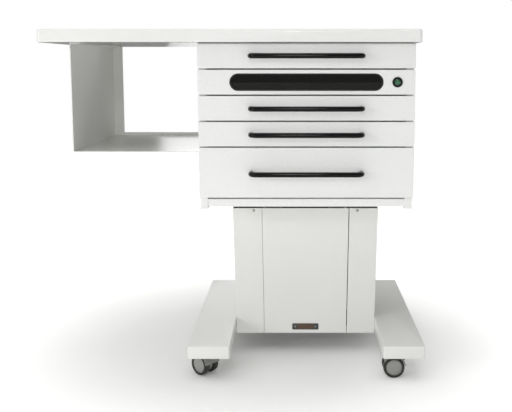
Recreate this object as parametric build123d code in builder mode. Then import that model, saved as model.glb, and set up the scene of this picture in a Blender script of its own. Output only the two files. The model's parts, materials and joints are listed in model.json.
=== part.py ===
# Mobile dental cabinet: a worktop with an open side shelf, five drawers, a tapered column, two feet and
# four twin-wheel casters. Millimetres, +Z up, X along the front, and the drawers open towards -Y.
# The origin is on the floor, under the middle of the whole outline.

import os
from math import cos, radians, sin

from build123d import *

os.makedirs("parts", exist_ok=True)

# ---- Driving dimensions ----

# Overall layout
front_y = -242.0  # front plane of the worktop
depth = 500.0  # worktop, front to back
back_y = front_y + depth
body_x = 167.0  # centre line of the cabinet, the column and the feet
worktop_left = -443.0
worktop_right = 429.0
worktop_thick = 30.0
body_top = 785.0  # underside of the worktop

# Cabinet of 18 mm board
body_width = 500.0
board = 18.0
carcass_front = front_y + 39
carcass_back = front_y + 489
side_bottom = 396.0
floor_bottom = 402.0
back_thick = 6.0
rail_deep = 60.0
rail_thick = 12.0
body_left = body_x - body_width / 2
body_right = body_x + body_width / 2
inner_left = body_left + board
inner_right = body_right - board

# Drawers: gap lines between the fronts, from the worktop down
front_thick = 18.0
front_gap = 3.0
front_face = front_y + 20
front_back = front_face + front_thick
drawer_lines = {
    "top_drawer": (725.0, 785.0),
    "uv_drawer": (665.0, 725.0),
    "middle_drawer": (605.0, 665.0),
    "lower_drawer": (545.0, 605.0),
    "deep_drawer": (424.5, 545.0),
}
plain_drawers = ("top_drawer", "middle_drawer", "lower_drawer", "deep_drawer")

# Mains inlet at the back, for the lamp
inlet_x = body_x + 150
inlet_z = 700.0
inlet_hole = (inlet_x - 14, inlet_x + 14)
inlet_flange = (inlet_x - 24, inlet_x + 24)
inlet_hole_z = (inlet_z - 10, inlet_z + 10)

# Trays and ball-bearing runners
runner_space = 13.0  # between the tray and the cabinet side
runner_length = 400.0
runner_height = 35.0
runner_sheet = 1.2
tray_length = 400.0
tray_sheet = 1.5
tray_lift = 8.0  # tray's underside above the gap line
tray_height = 36.0
deep_tray_height = 96.0
tray_half = (inner_right - inner_left) / 2 - runner_space

# Bow handles
handle_centres = 256.0
handle_radius = 6.0
handle_reach = 30.0  # front face to the bar's centre
handle_bend = 14.0
handle_rise = {"deep_drawer": 60.0}  # above the gap line, 30 on the others

# Sterilising drawer
window_width = 354.0
window_height = 40.0
gasket_wide = 3.0
gasket_thick = 3.5
pane_thick = 4.0
button_x = body_x + 209
button_z = 695.0
button_flange = 12.0
button_flange_thick = 2.5
button_barrel = 9.5
button_bore = 7.75
button_cap_radius = 7.65
button_travel = 3.0
lamp_length = 288.0
lamp_radius = 7.75
lamp_y = 128.0
lamp_z = 694.0

# Side shelf of 2 mm sheet
shelf_left = body_x - 544
shelf_front = front_y + 30
shelf_deep = 415.0
shelf_floor = 532.0
shelf_sheet = 2.0
shelf_flange = 29.0
shelf_lip = 8.0
shelf_top_flange = 25.0
shelf_drop = 31.0  # fixing flange against the cabinet's side

# Column of folded sheet
column_front = front_y + 175
column_deep = 150.0
column_back = column_front + column_deep
column_y = column_front + column_deep / 2
column_bottom = 44.0
column_top = 372.0
column_half_bottom = 177.3
column_half_top = 185.0
column_sheet = 1.5
seam_bottom = 106.0  # from the centre line to a seam
seam_top = 111.0
seam_gap = {-1: 0.8, 1: 2.0}
fold = 12.0
collar_bottom = 376.0
collar_wall = 2.5
nameplate_z = 61.0
post_wide = 120.0
post_deep = 90.0

# Feet of rectangular tube, as long behind the origin as in front of it
foot_half = 277.0
foot_inner = 178.5  # from the centre line
foot_width = 97.5
foot_bottom = 56.0
foot_height = 30.0
foot_wall = 2.5
foot_top = foot_bottom + foot_height

# Twin-wheel casters
wheel_radius = 25.0
wheel_inner = 7.0
wheel_outer = 22.5
trail = 20.0
stem_radius = 5.0
stem_bottom = 38.0
stem_in_foot = 24.0
axle_radius = 4.0
running = 0.05  # radial clearance of a running fit
hood_half = 6.3  # half thickness of the web between the wheels
hood_inner = 25.8
hood_outer = 28.3
hood_top = 55.5
caster_inset = 45.0  # stem from the foot's end
stem_from_centre = foot_inner + foot_width / 2
casters = {  # side, end of the foot, direction in which the wheels trail
    "front_left": (-1, caster_inset - foot_half, 140.0),
    "front_right": (1, caster_inset - foot_half, 180.0),
    "rear_left": (-1, foot_half - caster_inset, 158.0),
    "rear_right": (1, foot_half - caster_inset, 172.0),
}

# Screws
screw_radius = 2.5
screw_head = 4.0
screw_head_thick = 2.0
screw_length = 12.0
column_screw_z = column_top - 6
column_screw_x = 132.0
shelf_screw_z = shelf_floor - shelf_drop / 2
shelf_screw_y = (-150.0, -4.5, 141.0)
bolt_radius = 4.0
bolt_z = 70.0
bolt_spread = 40.0  # either side of the column's middle


def save(name, part):
    part.label = name
    export_step(part, f"parts/{name}.step")


def block(x_low, x_high, y_low, y_high, z_low, z_high, mode=Mode.ADD):
    # A box from its corners, added to the part that is being built
    with Locations(((x_low + x_high) / 2, (y_low + y_high) / 2, (z_low + z_high) / 2)):
        Box(x_high - x_low, y_high - y_low, z_high - z_low, mode=mode)


def facing(y):
    # Upright plane at y that looks towards the front; extruding by a negative amount goes back
    return Plane.XZ.offset(-y)


# ---- Worktop ----


def make_worktop():
    with BuildPart() as worktop:
        block(worktop_left, worktop_right, front_y, back_y, body_top, body_top + worktop_thick)
        fillet(worktop.edges().filter_by(Axis.Z), radius=8)
        fillet(worktop.faces().sort_by(Axis.Z)[-1].edges(), radius=6)
        fillet(worktop.faces().sort_by(Axis.Z)[0].edges(), radius=3)
    save("worktop", worktop.part)


# ---- Cabinet ----


def make_side_panels():
    for name, low in (("side_panel_left", body_left), ("side_panel_right", inner_right)):
        with BuildPart() as panel:
            block(low, low + board, carcass_front, carcass_back, side_bottom, body_top)
            fillet(panel.edges().filter_by(Axis.Z), radius=1)
            if low == body_left:
                for y in shelf_screw_y:
                    with Locations(Plane((body_left, y, shelf_screw_z), z_dir=(-1, 0, 0))):
                        Hole(screw_radius, depth=screw_length - shelf_sheet)
        save(name, panel.part)


def make_cabinet_boards():
    back_inside = carcass_back - back_thick
    with BuildPart() as bottom_panel:
        block(inner_left, inner_right, carcass_front + 2, back_inside, floor_bottom, floor_bottom + board)
    save("bottom_panel", bottom_panel.part)

    with BuildPart() as top_rails:
        for low in (carcass_front, back_inside - rail_deep):
            block(inner_left, inner_right, low, low + rail_deep, body_top - rail_thick, body_top)
    save("top_rails", top_rails.part)

    with BuildPart() as back_panel:
        block(inner_left, inner_right, back_inside, carcass_back, floor_bottom, body_top)
        block(*inlet_hole, back_inside, carcass_back, *inlet_hole_z, mode=Mode.SUBTRACT)
    save("back_panel", back_panel.part)


def make_power_inlet():
    back_inside = carcass_back - back_thick
    with BuildPart() as power_inlet:
        block(*inlet_hole, back_inside - 16, carcass_back, *inlet_hole_z)
        block(*inlet_flange, carcass_back, carcass_back + 3, inlet_z - 14, inlet_z + 14)
        with BuildSketch(facing(carcass_back + 3)) as socket:
            with Locations((inlet_x, inlet_z)):
                RectangleRounded(23, 15.5, radius=3)
        extrude(amount=15, mode=Mode.SUBTRACT)
        with BuildSketch(facing(carcass_back - 12)) as pins:
            with Locations((inlet_x - 7, inlet_z - 2), (inlet_x + 7, inlet_z - 2), (inlet_x, inlet_z + 2)):
                Rectangle(2, 5)
        extrude(amount=-11)
    save("power_inlet", power_inlet.part)


# ---- Side shelf: left wall, floor, and flanges folded from one sheet ----


def make_side_shelf():
    shelf_back = shelf_front + shelf_deep
    floor_top = shelf_floor + shelf_sheet
    with BuildPart() as side_shelf:
        block(shelf_left, shelf_left + shelf_sheet, shelf_front, shelf_back, shelf_floor, body_top)
        block(shelf_left, body_left, shelf_front, shelf_back, shelf_floor, floor_top)
        top_edge = shelf_left + shelf_top_flange
        block(shelf_left, top_edge, shelf_front, shelf_back, body_top - shelf_sheet, body_top)
        rear = (shelf_back - shelf_sheet, shelf_back)
        block(shelf_left, shelf_left + shelf_flange, *rear, shelf_floor, body_top)
        block(shelf_left, body_left, *rear, shelf_floor, floor_top + shelf_lip)
        block(
            body_left - shelf_sheet, body_left, shelf_front, shelf_back, shelf_floor - shelf_drop, floor_top
        )
        corner = side_shelf.edges().filter_by(Axis.Y).sort_by(Axis.X)[0:2].sort_by(Axis.Z)[0]
        fillet(corner, radius=3)
        for y in shelf_screw_y:
            with Locations(Plane((body_left - shelf_sheet, y, shelf_screw_z), z_dir=(-1, 0, 0))):
                Hole(screw_radius, depth=shelf_sheet)
    save("side_shelf", side_shelf.part)


# ---- Column: welded frame inside, folded covers outside ----


def taper(x_low, x_high, sheet_y, thick):
    # A strip that leans with the column: x_low and x_high are (at the bottom, at the top)
    with BuildSketch(facing(sheet_y)) as strip:
        with BuildLine():
            Polyline(
                (x_low[0], column_bottom),
                (x_high[0], column_bottom),
                (x_high[1], column_top),
                (x_low[1], column_top),
                close=True,
            )
        make_face()
    extrude(strip.sketch, amount=-thick)


def column_lines(side, bottom, top, shift=0.0):
    return (body_x + side * (bottom - shift), body_x + side * (top - shift))


def make_column_covers():
    for side, name in ((-1, "column_cover_left"), (1, "column_cover_right")):
        gap = seam_gap[side]
        outer = column_lines(side, column_half_bottom, column_half_top)
        inner = column_lines(side, column_half_bottom, column_half_top, column_sheet)
        seam = column_lines(side, seam_bottom, seam_top, -gap / 2)
        lip = column_lines(side, seam_bottom, seam_top, -gap / 2 - column_sheet)
        with BuildPart() as cover:
            taper(inner, outer, column_front, column_deep)
            taper(seam, outer, column_front, column_sheet)
            taper(seam, outer, column_back - column_sheet, column_sheet)
            taper(seam, lip, column_front, fold)
            for y in (column_y - bolt_spread, column_y + bolt_spread):
                with Locations(Plane((body_x + side * foot_inner, y, bolt_z), z_dir=(side, 0, 0))):
                    Hole(bolt_radius + 0.2, depth=5)
            for y, out in ((column_front, -1), (column_back, 1)):
                at = (body_x + side * column_screw_x, y, column_screw_z)
                with Locations(Plane(at, z_dir=(0, out, 0))):
                    Hole(screw_radius, depth=column_sheet)
        save(name, cover.part)


def make_column_panels():
    left = column_lines(-1, seam_bottom, seam_top, seam_gap[-1] / 2)
    right = column_lines(1, seam_bottom, seam_top, seam_gap[1] / 2)
    left_lip = tuple(x + column_sheet for x in left)
    right_lip = tuple(x - column_sheet for x in right)
    with BuildPart() as front_panel:
        taper(left, right, column_front, column_sheet)
        taper(left, left_lip, column_front, fold)
        taper(right_lip, right, column_front, fold)
    save("column_front_panel", front_panel.part)

    with BuildPart() as column_back_panel:
        taper(left, right, column_back - column_sheet, column_sheet)
    save("column_back_panel", column_back_panel.part)


def make_column_frame():
    # Post with a top plate and its skirt, and a cross beam whose ends turn up against the feet
    beam_half = 176.0
    beam_deep = 120.0
    plate = 8.0
    beam = 6.0
    neck_wide = 356.0
    neck_deep = 138.0
    neck_sheet = 3.0
    with BuildPart() as column_frame:
        with BuildSketch(Plane.XY.offset(foot_bottom)):
            with Locations((body_x, column_y)):
                RectangleRounded(post_wide, post_deep, radius=8)
                RectangleRounded(post_wide - 6, post_deep - 6, radius=5, mode=Mode.SUBTRACT)
        extrude(amount=floor_bottom - foot_bottom)
        low = column_y - beam_deep / 2
        high = column_y + beam_deep / 2
        with BuildSketch(Plane.XY.offset(floor_bottom)):
            with Locations((body_x, column_y)):
                RectangleRounded(neck_wide, neck_deep, radius=3)
        extrude(amount=-plate)
        with BuildSketch(Plane.XY.offset(column_top + 1)):
            with Locations((body_x, column_y)):
                RectangleRounded(neck_wide, neck_deep, radius=3)
                inside = (neck_wide - 2 * neck_sheet, neck_deep - 2 * neck_sheet)
                RectangleRounded(*inside, radius=1, mode=Mode.SUBTRACT)
        extrude(amount=floor_bottom - column_top - 1)
        block(body_x - beam_half, body_x + beam_half, low, high, foot_bottom, foot_bottom + beam)
        for side in (-1, 1):
            ends = sorted((body_x + side * beam_half, body_x + side * (beam_half - beam)))
            block(*ends, low, high, foot_bottom, foot_top - 2)
            for y in (column_y - bolt_spread, column_y + bolt_spread):
                with Locations(Plane((body_x + side * beam_half, y, bolt_z), z_dir=(side, 0, 0))):
                    Hole(bolt_radius + 0.2, depth=beam)
    save("column_frame", column_frame.part)


def make_column_collar():
    # Trim ring under the cabinet, one dark gap above the covers
    wide = 2 * column_half_top
    with BuildPart() as column_collar:
        with BuildSketch(Plane.XY.offset(collar_bottom)):
            with Locations((body_x, column_y)):
                RectangleRounded(wide, column_deep, radius=3)
                inside = (wide - 2 * collar_wall, column_deep - 2 * collar_wall)
                RectangleRounded(*inside, radius=1, mode=Mode.SUBTRACT)
        extrude(amount=floor_bottom - collar_bottom)
    save("column_collar", column_collar.part)


def make_nameplate():
    with BuildPart() as nameplate:
        with BuildSketch(facing(column_front)):
            with Locations((body_x, nameplate_z)):
                RectangleRounded(68, 16.5, radius=2.5)
        extrude(amount=1.2)
        fillet(nameplate.faces().sort_by(Axis.Y)[0].edges(), radius=0.5)
    save("nameplate", nameplate.part)


# ---- Feet ----


def make_feet():
    for side, name in ((-1, "foot_left"), (1, "foot_right")):
        centre = body_x + side * stem_from_centre
        with BuildPart() as foot:
            with BuildSketch(facing(-foot_half)):
                with Locations((centre, foot_bottom + foot_height / 2)):
                    RectangleRounded(foot_width, foot_height, radius=4)
                    inside = (foot_width - 2 * foot_wall, foot_height - 2 * foot_wall)
                    RectangleRounded(*inside, radius=1.5, mode=Mode.SUBTRACT)
            extrude(amount=-2 * foot_half)
            for y in (caster_inset - foot_half, foot_half - caster_inset):
                with BuildSketch(Plane.XY.offset(foot_bottom + 1)):
                    with Locations((centre, y)):
                        Circle(2 * stem_radius)
                extrude(amount=foot_height - 2)
                with Locations(Plane((centre, y, foot_bottom), z_dir=(0, 0, -1))):
                    Hole(stem_radius, depth=stem_in_foot)
            for y in (column_y - bolt_spread, column_y + bolt_spread):
                with Locations(Plane((body_x + side * foot_inner, y, bolt_z), z_dir=(-side, 0, 0))):
                    Hole(bolt_radius + 0.2, depth=foot_wall)
        save(name, foot.part)


def make_foot_end_caps():
    plug = 3.0
    with BuildPart() as foot_end_caps:
        for y in (-foot_half, foot_half - plug):
            with BuildSketch(facing(y)):
                for side in (-1, 1):
                    with Locations((body_x + side * stem_from_centre, foot_bottom + foot_height / 2)):
                        inside = (foot_width - 2 * foot_wall, foot_height - 2 * foot_wall)
                        RectangleRounded(*inside, radius=1.5)
            extrude(amount=-plug)
    save("foot_end_caps", foot_end_caps.part)


# ---- Screws, identical ones in one node ----


def make_panel_screws():
    spots = [Plane((body_left - shelf_sheet, y, shelf_screw_z), z_dir=(-1, 0, 0)) for y in shelf_screw_y]
    for side in (-1, 1):
        for y, out in ((column_front, -1), (column_back, 1)):
            at = (body_x + side * column_screw_x, y, column_screw_z)
            spots.append(Plane(at, z_dir=(0, out, 0)))
    with BuildPart() as panel_screws:
        for spot in spots:
            with BuildSketch(spot):
                Circle(screw_head)
            extrude(amount=screw_head_thick)
            with BuildSketch(spot):
                Circle(screw_radius)
            extrude(amount=-screw_length)
    save("panel_screws", panel_screws.part)


def make_foot_bolts():
    beam_inside = 170.0
    head = 5.5
    with BuildPart() as foot_bolts:
        for side in (-1, 1):
            for y in (column_y - bolt_spread, column_y + bolt_spread):
                at = Plane((body_x + side * beam_inside, y, bolt_z), z_dir=(side, 0, 0))
                with BuildSketch(at):
                    RegularPolygon(radius=7.5, side_count=6)
                extrude(amount=-head)
                with BuildSketch(at):
                    Circle(bolt_radius)
                extrude(amount=25)
    save("foot_bolts", foot_bolts.part)


# ---- Runners ----


def runner_pair(middle_z, reach, height, front, flange, side_x):
    # Two channels that face each other: side_x gives the web's outer face on each side of the tray
    for side, x in side_x:
        web = sorted((x, x + side * runner_sheet))
        arm = sorted((x, x + side * flange))
        block(*web, front, front + reach, middle_z - height / 2, middle_z + height / 2)
        for low in (middle_z - height / 2, middle_z + height / 2 - runner_sheet):
            block(*arm, front, front + reach, low, low + runner_sheet)


def runner_height_line(name):
    # The runner's middle, above the drawer's lower gap line
    return drawer_lines[name][0] + (48 if name == "deep_drawer" else tray_lift + tray_height / 2)


def make_cabinet_runners():
    with BuildPart() as cabinet_runners:
        for name in drawer_lines:
            walls = ((1, inner_left), (-1, inner_right))
            runner_pair(runner_height_line(name), runner_length, runner_height, carcass_front, 11.5, walls)
    save("cabinet_runners", cabinet_runners.part)


def make_drawer_runners(name):
    tray_sides = ((-1, body_x - tray_half), (1, body_x + tray_half))
    with BuildPart() as runners:
        runner_pair(runner_height_line(name), runner_length - 2, 26.0, carcass_front, 10.0, tray_sides)
    save(f"{name}_runners", runners.part)


# ---- Drawers ----


def front_span(name):
    low, high = drawer_lines[name]
    return low + front_gap / 2, high - front_gap / 2


def make_plain_front(name):
    low, high = front_span(name)
    with BuildPart() as front:
        block(body_left, body_right, front_face, front_back, low, high)
        fillet(front.faces().sort_by(Axis.Y)[0].edges(), radius=1.5)
    save(f"{name}_front", front.part)


def make_tray(name, walls_at_front=True):
    low = drawer_lines[name][0] + tray_lift
    high = low + (deep_tray_height if name == "deep_drawer" else tray_height)
    left = body_x - tray_half
    right = body_x + tray_half
    back = front_back + tray_length
    inside_front = front_back + (tray_sheet if walls_at_front else 0)
    with BuildPart() as tray:
        block(left, right, front_back, back, low, high)
        inside = (left + tray_sheet, right - tray_sheet, inside_front, back - tray_sheet)
        block(*inside, low + tray_sheet, high, mode=Mode.SUBTRACT)
    save(f"{name}_tray", tray.part)


def make_handle(name):
    z = drawer_lines[name][0] + handle_rise.get(name, 30.0)
    half = handle_centres / 2
    out = front_face - handle_reach
    with BuildPart() as handle:
        with BuildLine():
            FilletPolyline(
                (body_x - half, front_face, z),
                (body_x - half, out, z),
                (body_x + half, out, z),
                (body_x + half, front_face, z),
                radius=handle_bend,
            )
        with BuildSketch(Plane((body_x - half, front_face, z), x_dir=(1, 0, 0), z_dir=(0, -1, 0))):
            Circle(handle_radius)
        sweep()
    save(f"{name}_handle", handle.part)


# ---- Sterilising drawer: window, lamp and push button ----


def stadium(width, height):
    with Locations((body_x, button_z)):
        SlotOverall(width, height)


def make_uv_front():
    low, high = front_span("uv_drawer")
    with BuildPart() as uv_front:
        block(body_left, body_right, front_face, front_back, low, high)
        fillet(uv_front.faces().sort_by(Axis.Y)[0].edges(), radius=1.5)
        with BuildSketch(facing(front_face)):
            stadium(window_width, window_height)
        extrude(amount=-front_thick, mode=Mode.SUBTRACT)
        with Locations(Plane((button_x, front_face, button_z), z_dir=(0, -1, 0))):
            Hole(button_barrel, depth=front_thick)
    save("uv_drawer_front", uv_front.part)


def make_window():
    proud = 0.5
    with BuildPart() as window_gasket:
        with BuildSketch(facing(front_face - proud)):
            stadium(window_width, window_height)
            with Locations((body_x, button_z)):
                SlotOverall(
                    window_width - 2 * gasket_wide, window_height - 2 * gasket_wide, mode=Mode.SUBTRACT
                )
        extrude(amount=-gasket_thick)
    save("window_gasket", window_gasket.part)

    with BuildPart() as window_pane:
        with BuildSketch(facing(front_face - proud + gasket_thick)):
            stadium(window_width, window_height)
        extrude(amount=-pane_thick)
    save("window_pane", window_pane.part)


def make_lamp():
    # Tube with metal end sleeves, two holders that grip it, and the ballast behind
    holder = 12.0
    floor = drawer_lines["uv_drawer"][0] + tray_lift + tray_sheet
    with BuildPart() as uv_lamp:
        with BuildSketch(Plane((body_x, lamp_y, lamp_z), z_dir=(1, 0, 0))):
            Circle(lamp_radius)
        extrude(amount=lamp_length / 2, both=True)
        fillet(uv_lamp.edges().filter_by(GeomType.CIRCLE), radius=2)
    save("uv_lamp", uv_lamp.part)

    with BuildPart() as lamp_holders:
        for side in (-1, 1):
            ends = sorted((body_x + side * lamp_length / 2, body_x + side * (lamp_length / 2 + holder)))
            block(*ends, lamp_y - 10, lamp_y + 10, floor, lamp_z + 10)
        fillet(lamp_holders.edges().filter_by(Axis.X).group_by(Axis.Z)[-1], radius=4)
    save("lamp_holders", lamp_holders.part)

    with BuildPart() as lamp_ballast:
        block(body_x - 140, body_x - 20, lamp_y + 24, lamp_y + 56, floor, floor + 24)
        fillet(lamp_ballast.faces().sort_by(Axis.Z)[-1].edges(), radius=2)
        for x in (body_x - 147, body_x - 13):
            block(x - 7, x + 7, lamp_y + 30, lamp_y + 50, floor, floor + 1.5)
    save("lamp_ballast", lamp_ballast.part)


def make_button():
    outside = front_face - button_flange_thick
    cap_back = front_face + 8
    with BuildPart() as button_bezel:
        with BuildSketch(facing(outside)):
            with Locations((button_x, button_z)):
                Circle(button_flange)
        extrude(amount=-button_flange_thick)
        fillet(button_bezel.edges().group_by(Axis.Y)[0], radius=1)
        with BuildSketch(facing(front_face)):
            with Locations((button_x, button_z)):
                Circle(button_barrel)
        extrude(amount=-(front_thick - 1))
        with BuildSketch(facing(outside)):
            with Locations((button_x, button_z)):
                Circle(button_bore)
        extrude(amount=-(cap_back + button_travel + 0.5 - outside), mode=Mode.SUBTRACT)
    save("button_bezel", button_bezel.part)

    with BuildPart() as button_cap:
        with BuildSketch(facing(outside - 1.2)):
            with Locations((button_x, button_z)):
                Circle(button_cap_radius)
        extrude(amount=-(cap_back - outside + 1.2))
        fillet(button_cap.edges().group_by(Axis.Y)[0], radius=0.8)
    save("button_cap", button_cap.part)


# ---- Casters ----


def caster_plane(name):
    # Local X runs from the stem to the wheels, local Z is the world's Z, with its origin on the floor
    side, y, heading = casters[name]
    x_dir = (cos(radians(heading)), sin(radians(heading)), 0)
    return Plane((body_x + side * stem_from_centre, y, 0), x_dir=x_dir, z_dir=(0, 0, 1))


def place(shape, plane):
    return plane.location * shape


def make_hood_shape():
    # Built with the stem at the origin and the wheels towards +X
    with BuildPart() as hood:
        with BuildSketch(Plane.XZ.offset(-hood_half)):
            with Locations((trail, wheel_radius)):
                Circle(20)
            with BuildLine():
                Polyline((-7, 38), (-7, hood_top), (trail, hood_top - 3), (trail, wheel_radius), close=True)
            make_face()
        extrude(amount=2 * hood_half)
        with BuildSketch(Plane.XY.offset(hood_top)):
            Circle(8.5)
        extrude(amount=-6.5)
        with BuildSketch(Plane.XZ.offset(-wheel_outer)):
            with BuildLine():
                outer_arc = CenterArc((trail, wheel_radius), hood_outer, 35, 135)
                inner_arc = CenterArc((trail, wheel_radius), hood_inner, 35, 135)
                Line(outer_arc @ 0, inner_arc @ 0)
                Line(outer_arc @ 1, inner_arc @ 1)
            make_face()
        extrude(amount=2 * wheel_outer)
        with Locations(Plane((0, 0, hood_top), z_dir=(0, 0, 1))):
            Hole(stem_radius + running, depth=hood_top - stem_bottom + 1)
        with BuildSketch(Plane.XZ.offset(-30)):
            with Locations((trail, wheel_radius)):
                Circle(axle_radius)
        extrude(amount=60, mode=Mode.SUBTRACT)
    return hood.part


def make_wheels_shape():
    # Two dished wheels, each with a blind bore for the axle
    with BuildPart() as wheels:
        for side in (-1, 1):
            with BuildSketch(Plane.YZ.offset(trail)):
                with BuildLine():
                    Polyline(
                        (side * wheel_inner, wheel_radius + axle_radius + running),
                        (side * wheel_inner, 2 * wheel_radius - 1.5),
                        (side * (wheel_inner + 1.5), 2 * wheel_radius),
                        (side * (wheel_outer - 4), 2 * wheel_radius),
                        (side * (wheel_outer - 1), 2 * wheel_radius - 2),
                        (side * (wheel_outer - 0.3), 2 * wheel_radius - 5.5),
                        (side * (wheel_outer - 1.8), 2 * wheel_radius - 6.5),
                        (side * wheel_outer, wheel_radius),
                        (side * (wheel_outer - 2.3), wheel_radius),
                        (side * (wheel_outer - 2.3), wheel_radius + axle_radius + running),
                        close=True,
                    )
                make_face()
            revolve(axis=Axis((trail, 0, wheel_radius), (0, 1, 0)))
    return wheels.part


def make_axle_shape():
    half = wheel_outer - 2.6
    with BuildPart() as axle:
        with BuildSketch(Plane.XZ.offset(-half)):
            with Locations((trail, wheel_radius)):
                Circle(axle_radius)
        extrude(amount=2 * half)
        chamfer(axle.edges().filter_by(GeomType.CIRCLE), length=0.6)
    return axle.part


def make_casters():
    hood = make_hood_shape()
    wheels = make_wheels_shape()
    axle = make_axle_shape()
    for name in casters:
        plane = caster_plane(name)
        save(f"caster_{name}_hood", place(hood, plane))
        save(f"caster_{name}_wheels", place(wheels, plane))
        save(f"caster_{name}_axle", place(axle, plane))

    with BuildPart() as caster_stems:
        for name in casters:
            side, y, _ = casters[name]
            with BuildSketch(Plane.XY.offset(stem_bottom)):
                with Locations((body_x + side * stem_from_centre, y)):
                    Circle(stem_radius)
            extrude(amount=foot_bottom + stem_in_foot - stem_bottom)
    save("caster_stems", caster_stems.part)


make_worktop()
make_side_panels()
make_cabinet_boards()
make_power_inlet()
make_side_shelf()
make_column_covers()
make_column_panels()
make_column_frame()
make_column_collar()
make_nameplate()
make_feet()
make_foot_end_caps()
make_panel_screws()
make_foot_bolts()
make_cabinet_runners()
for drawer in plain_drawers:
    make_plain_front(drawer)
    make_tray(drawer)
    make_handle(drawer)
    make_drawer_runners(drawer)
make_uv_front()
make_tray("uv_drawer", walls_at_front=False)
make_drawer_runners("uv_drawer")
make_window()
make_lamp()
make_button()
make_casters()
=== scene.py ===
import json
import math

import bmesh
import bpy
from mathutils import Matrix, Vector


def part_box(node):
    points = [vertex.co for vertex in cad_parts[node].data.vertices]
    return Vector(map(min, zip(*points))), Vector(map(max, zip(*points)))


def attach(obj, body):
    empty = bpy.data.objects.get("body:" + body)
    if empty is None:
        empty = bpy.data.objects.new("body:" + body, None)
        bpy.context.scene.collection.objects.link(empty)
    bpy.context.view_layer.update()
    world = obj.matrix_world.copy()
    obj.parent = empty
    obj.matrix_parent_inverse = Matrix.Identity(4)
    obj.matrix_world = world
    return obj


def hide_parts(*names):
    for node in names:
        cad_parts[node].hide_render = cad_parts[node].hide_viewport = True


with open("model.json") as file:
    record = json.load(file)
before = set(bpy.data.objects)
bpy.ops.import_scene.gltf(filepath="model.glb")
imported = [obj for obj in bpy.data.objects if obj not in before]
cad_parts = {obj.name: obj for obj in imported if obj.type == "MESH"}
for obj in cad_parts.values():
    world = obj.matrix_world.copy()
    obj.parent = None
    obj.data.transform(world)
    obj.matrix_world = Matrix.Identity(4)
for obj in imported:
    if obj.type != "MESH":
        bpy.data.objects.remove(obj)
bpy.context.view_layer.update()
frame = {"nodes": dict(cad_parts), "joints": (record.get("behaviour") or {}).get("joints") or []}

# A mobile dental cabinet, in metres: the drawers open towards -Y and +X runs to the right along its front
mm = 0.001
nodes = frame["nodes"]
joints = {joint["name"]: joint for joint in frame["joints"]}
plainDrawers = ("top_drawer", "middle_drawer", "lower_drawer", "deep_drawer")
allDrawers = plainDrawers + ("uv_drawer",)
casterNames = ("front_left", "front_right", "rear_left", "rear_right")
print("frame loaded:", len(nodes), "parts")

# Camera in front of the upper drawers, looking slightly down
cameraView = {
    "place": (0.144, -1.998, 0.739),
    "pitch": 6.8,  # degrees below the horizon
    "lens": 54.2,  # millimetres
    "shift": (-0.079, -0.1),
}


def makeCamera(view):
    data = bpy.data.cameras.new("camera")
    data.lens = view["lens"]
    data.shift_x, data.shift_y = view["shift"]
    camera = bpy.data.objects.new("camera", data)
    camera.location = view["place"]
    camera.rotation_euler = (math.radians(90 - view["pitch"]), 0, 0)
    bpy.context.scene.collection.objects.link(camera)
    bpy.context.scene.camera = camera


makeCamera(cameraView)
print("camera placed")


def hexColour(code):
    # sRGB hex to linear
    parts = [int(code[i:i + 2], 16) / 255 for i in (0, 2, 4)]
    return tuple(c / 12.92 if c <= 0.04045 else ((c + 0.055) / 1.055) ** 2.4 for c in parts) + (1.0,)


def addNode(tree, kind, settings=None, links=None):
    # settings holds properties and input values by name or number, links holds inputs and the outputs they take
    node = tree.nodes.new(kind)
    for name, value in (settings or {}).items():
        if isinstance(name, str) and hasattr(node, name):
            setattr(node, name, value)
        else:
            node.inputs[name].default_value = hexColour(value) if isinstance(value, str) else value
    for name, output in (links or {}).items():
        tree.links.new(output, node.inputs[name])
    return node


def startMaterial(name, values):
    # Returns the material, its tree, its shader and the coordinates of its own mesh, in metres
    material = bpy.data.materials.new(name)
    material.use_nodes = True
    tree = material.node_tree
    tree.nodes.clear()
    shader = addNode(tree, "ShaderNodeBsdfPrincipled", values)
    addNode(tree, "ShaderNodeOutputMaterial", {}, {"Surface": shader.outputs["BSDF"]})
    place = addNode(tree, "ShaderNodeTexCoord").outputs["Object"]
    return material, tree, shader, place


# What every finish shares: how far its tone drifts, in millimetres, how much of the speckle shows and how strong
# the relief is
sharedPattern = {"drift": 333, "speckle": 0.2, "relief": 0.4}


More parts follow.
